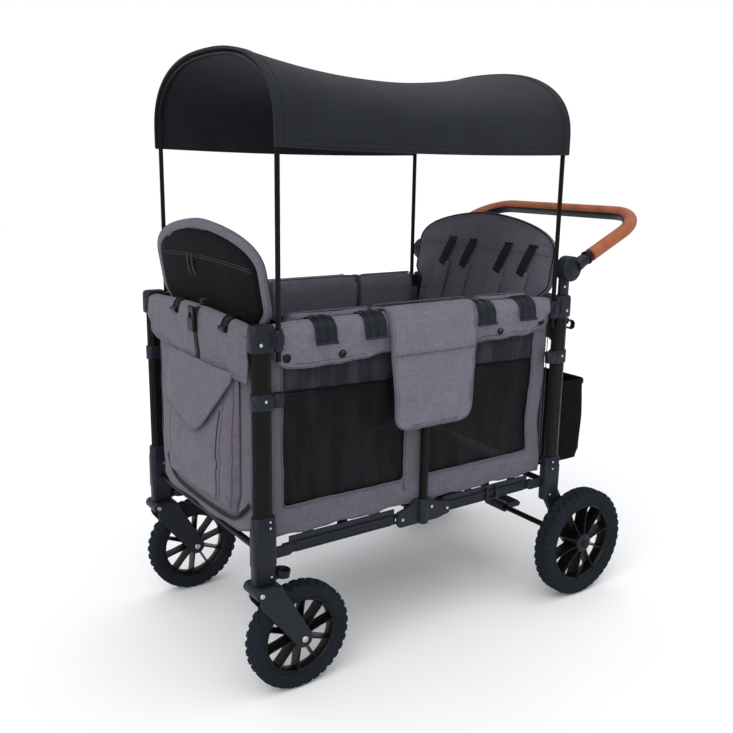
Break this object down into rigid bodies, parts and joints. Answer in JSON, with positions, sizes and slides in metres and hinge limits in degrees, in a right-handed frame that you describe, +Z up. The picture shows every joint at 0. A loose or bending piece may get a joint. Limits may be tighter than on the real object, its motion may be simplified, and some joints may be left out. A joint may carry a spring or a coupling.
{
  "type": "folding stroller wagon",
  "caption": "Folding children's stroller wagon: cloth tub with facing padded seats, hooped canopy, tilting push handle, swivel front casters and fixed rear wheels.",
  "frame": {"origin": "on the floor, under the middle of the object's bounding box", "axes": "+X towards the push handle, +Y to the wagon's right-hand side, +Z up"},
  "size_m": [1.3001, 0.74, 1.468],
  "materials": {
    "frame_tube": "satin black",
    "moulding": "fine-grained dark slate",
    "link_bar": "satin dark slate",
    "tyre_rubber": "matt with moulded tread",
    "wheel_rim": "satin black",
    "grey_cloth": "heathered grey polyester",
    "black_cloth": "smooth black polyester",
    "grip_leather": "smooth tan with stitched seam"
  },
  "bodies": {
    "front_frame": {"front_post_left": "frame_tube", "front_post_right": "frame_tube", "front_cap_left": "moulding", "front_cap_right": "moulding", "front_knuckle_left": "moulding", "front_knuckle_right": "moulding", "side_panel_left": "grey_cloth", "side_panel_right": "grey_cloth", "front_cross_rail": "frame_tube", "front_top_rail": "frame_tube", "front_panel": "grey_cloth"},
    "lower_front_rails": {"lower_front_rail_left": "link_bar", "lower_front_rail_right": "link_bar", "floor_front": "grey_cloth"},
    "middle_frame": {"middle_bracket_left": "moulding", "middle_bracket_right": "moulding", "middle_post_left": "frame_tube", "middle_post_right": "frame_tube", "floor_middle": "grey_cloth"},
    "lower_rear_rails": {"lower_rear_rail_left": "link_bar", "lower_rear_rail_right": "link_bar", "floor_rear": "grey_cloth"},
    "rear_frame": {"rear_post_left": "frame_tube", "rear_post_right": "frame_tube", "rear_cap_left": "moulding", "rear_cap_right": "moulding", "rear_knuckle_left": "moulding", "rear_knuckle_right": "moulding", "rear_cross_rail": "frame_tube", "rear_top_rail": "frame_tube", "rear_axle": "frame_tube", "rear_panel": "grey_cloth", "basket": "black_cloth"},
    "upper_front_rails": {"upper_front_rail_left": "grey_cloth", "upper_front_rail_right": "grey_cloth"},
    "upper_rear_rails": {"upper_rear_rail_left": "grey_cloth", "upper_rear_rail_right": "grey_cloth"},
    "front_seat_back": {"front_seat_cushion": "grey_cloth"},
    "rear_seat_back": {"rear_seat_cushion": "grey_cloth"},
    "front_bench": {"front_bench_pad": "grey_cloth"},
    "rear_bench": {"rear_bench_pad": "grey_cloth"},
    "front_hoop": {"front_canopy_hoop": "frame_tube", "canopy_fabric": "black_cloth"},
    "rear_hoop": {"rear_canopy_hoop": "frame_tube"},
    "handle": {"handle_bar": "moulding", "handle_grip": "grip_leather"},
    "brake": {"brake_pedal": "moulding"},
    "caster_left": {"caster_fork_left": "moulding"},
    "front_wheel_left": {"front_tyre_left": "tyre_rubber", "front_rim_left": "wheel_rim"},
    "rear_wheel_left": {"rear_tyre_left": "tyre_rubber", "rear_rim_left": "wheel_rim"},
    "handle_button_left": {"hub_button_left": "moulding"},
    "caster_right": {"caster_fork_right": "moulding"},
    "front_wheel_right": {"front_tyre_right": "tyre_rubber", "front_rim_right": "wheel_rim"},
    "rear_wheel_right": {"rear_tyre_right": "tyre_rubber", "rear_rim_right": "wheel_rim"},
    "handle_button_right": {"hub_button_right": "moulding"}
  },
  "joints": [
    {"name": "fold", "type": "hinge", "parent": "front_frame", "child": "lower_front_rails", "pos_m": [-0.5195, 0, 0.35], "axis": [0, -1, 0], "range_deg": [0, 70], "deforming": ["side_panel_left", "side_panel_right", "canopy_fabric"]},
    {"name": "middle_level", "type": "hinge", "parent": "lower_front_rails", "child": "middle_frame", "pos_m": [-0.2065, 0, 0.35], "axis": [0, -1, 0], "range_deg": [-70, 0]},
    {"name": "rear_links", "type": "hinge", "parent": "middle_frame", "child": "lower_rear_rails", "pos_m": [-0.0565, 0, 0.35], "axis": [0, -1, 0], "range_deg": [-70, 0]},
    {"name": "rear_level", "type": "hinge", "parent": "lower_rear_rails", "child": "rear_frame", "pos_m": [0.2565, 0, 0.35], "axis": [0, -1, 0], "range_deg": [0, 70]},
    {"name": "upper_front_fold", "type": "hinge", "parent": "front_frame", "child": "upper_front_rails", "pos_m": [-0.5195, 0, 0.8535], "axis": [0, -1, 0], "range_deg": [0, 70]},
    {"name": "upper_rear_fold", "type": "hinge", "parent": "rear_frame", "child": "upper_rear_rails", "pos_m": [0.2565, 0, 0.8535], "axis": [0, -1, 0], "range_deg": [-70, 0]},
    {"name": "front_bench_lift", "type": "hinge", "parent": "front_frame", "child": "front_bench", "pos_m": [-0.4865, 0, 0.575], "axis": [0, -1, 0], "range_deg": [0, 90]},
    {"name": "rear_bench_lift", "type": "hinge", "parent": "rear_frame", "child": "rear_bench", "pos_m": [0.2235, 0, 0.575], "axis": [0, 1, 0], "range_deg": [0, 90]},
    {"name": "front_seat_recline", "type": "hinge", "parent": "front_frame", "child": "front_seat_back", "pos_m": [-0.5065, 0, 0.606], "axis": [0, -1, 0], "range_deg": [-6, 0]},
    {"name": "rear_seat_recline", "type": "hinge", "parent": "rear_frame", "child": "rear_seat_back", "pos_m": [0.2435, 0, 0.606], "axis": [0, 1, 0], "range_deg": [-6, 0]},
    {"name": "caster_swivel_left", "type": "hinge", "parent": "front_frame", "child": "caster_left", "pos_m": [-0.5898, -0.3025, 0.286], "axis": [0, 0, 1], "continuous": true},
    {"name": "front_wheel_spin_left", "type": "hinge", "parent": "caster_left", "child": "front_wheel_left", "pos_m": [-0.4998, -0.3025, 0.1335], "axis": [0, 1, 0], "continuous": true},
    {"name": "rear_wheel_spin_left", "type": "hinge", "parent": "rear_frame", "child": "rear_wheel_left", "pos_m": [0.4225, -0.341, 0.159], "axis": [0, 1, 0], "continuous": true},
    {"name": "caster_swivel_right", "type": "hinge", "parent": "front_frame", "child": "caster_right", "pos_m": [-0.5898, 0.3025, 0.286], "axis": [0, 0, 1], "continuous": true},
    {"name": "front_wheel_spin_right", "type": "hinge", "parent": "caster_right", "child": "front_wheel_right", "pos_m": [-0.4998, 0.3025, 0.1335], "axis": [0, 1, 0], "continuous": true},
    {"name": "rear_wheel_spin_right", "type": "hinge", "parent": "rear_frame", "child": "rear_wheel_right", "pos_m": [0.4225, 0.341, 0.159], "axis": [0, 1, 0], "continuous": true},
    {"name": "handle_tilt", "type": "hinge", "parent": "rear_frame", "child": "handle", "pos_m": [0.3385, 0, 0.955], "axis": [0, -1, 0], "range_deg": [-60, 50]},
    {"name": "hub_button_press_left", "type": "slide", "parent": "handle", "child": "handle_button_left", "axis": [0, 1, 0], "range_m": [0, 0.003], "stiffness_N_per_m": 600},
    {"name": "hub_button_press_right", "type": "slide", "parent": "handle", "child": "handle_button_right", "axis": [0, -1, 0], "range_m": [0, 0.003], "stiffness_N_per_m": 600},
    {"name": "canopy_height", "type": "slide", "parent": "front_frame", "child": "front_hoop", "axis": [0, 0, 1], "range_m": [-0.25, 0]},
    {"name": "rear_canopy_height", "type": "slide", "parent": "rear_frame", "child": "rear_hoop", "axis": [0, 0, 1], "range_m": [-0.25, 0]},
    {"name": "brake_press", "type": "hinge", "parent": "rear_frame", "child": "brake", "pos_m": [0.4225, 0, 0.159], "axis": [0, 1, 0], "range_deg": [0, 20]}
  ],
  "couplings": [
    {"joint": "middle_level", "follows": "fold", "ratio": -1},
    {"joint": "rear_links", "follows": "fold", "ratio": -1},
    {"joint": "rear_level", "follows": "fold", "ratio": 1},
    {"joint": "upper_front_fold", "follows": "fold", "ratio": 1},
    {"joint": "upper_rear_fold", "follows": "fold", "ratio": -1},
    {"joint": "front_bench_lift", "follows": "fold", "ratio": 1.2857},
    {"joint": "rear_bench_lift", "follows": "fold", "ratio": 1.2857},
    {"joint": "rear_canopy_height", "follows": "canopy_height", "ratio": 1}
  ]
}
